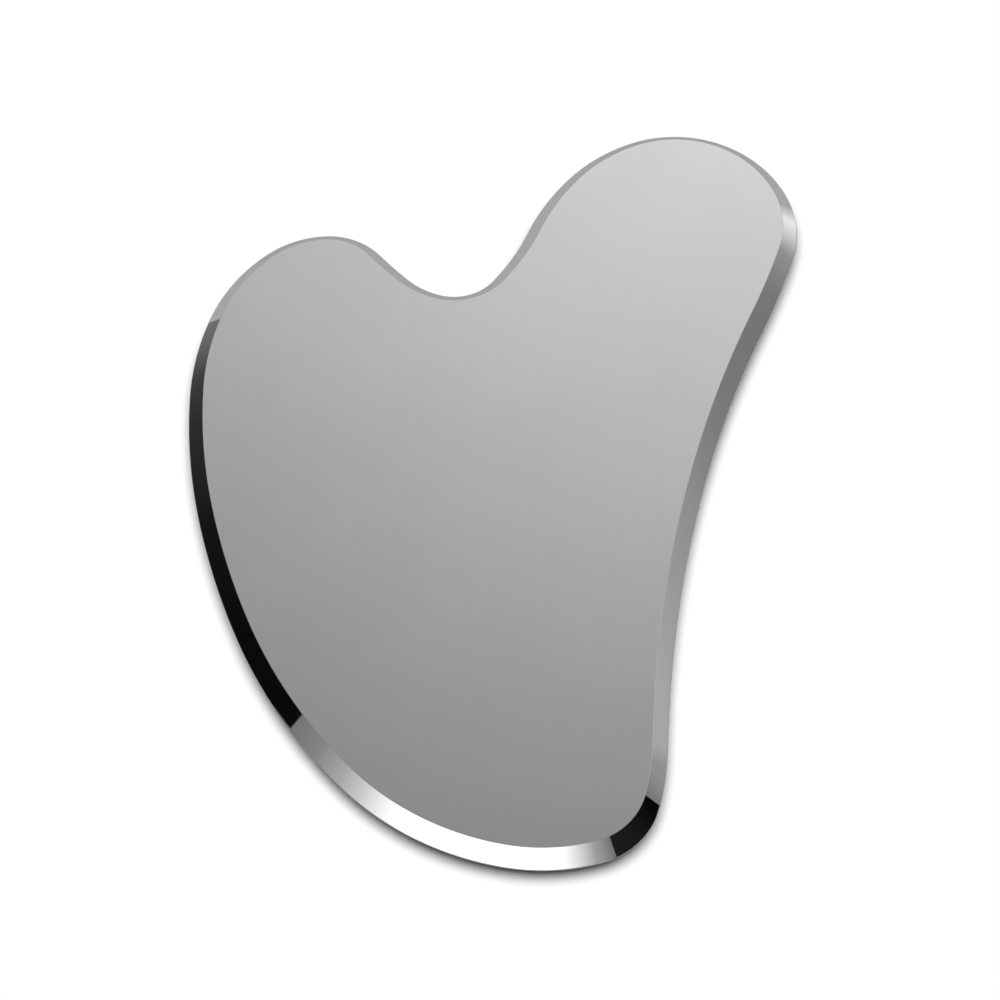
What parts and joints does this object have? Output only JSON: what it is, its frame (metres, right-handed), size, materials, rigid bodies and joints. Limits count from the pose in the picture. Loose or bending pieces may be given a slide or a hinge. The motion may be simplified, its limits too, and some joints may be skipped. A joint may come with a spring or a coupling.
{
  "type": "gua sha scraper",
  "caption": "Flat heart-shaped massage scraper of mirror-polished steel with bevelled rim, deep notch and hollow side.",
  "frame": {"origin": "on the back face, at the middle of the plate's length and width", "axes": "+Z through the plate's thickness, from the back face to the front face; +Y along its length, towards the larger lobe; +X across it, towards the hollow side"},
  "size_m": [0.0606, 0.09, 0.0045],
  "materials": {
    "polished_steel": "solid stainless steel polished to a mirror, no plating"
  },
  "bodies": {
    "root": {"scraper_plate": "polished_steel"}
  },
  "joints": []
}
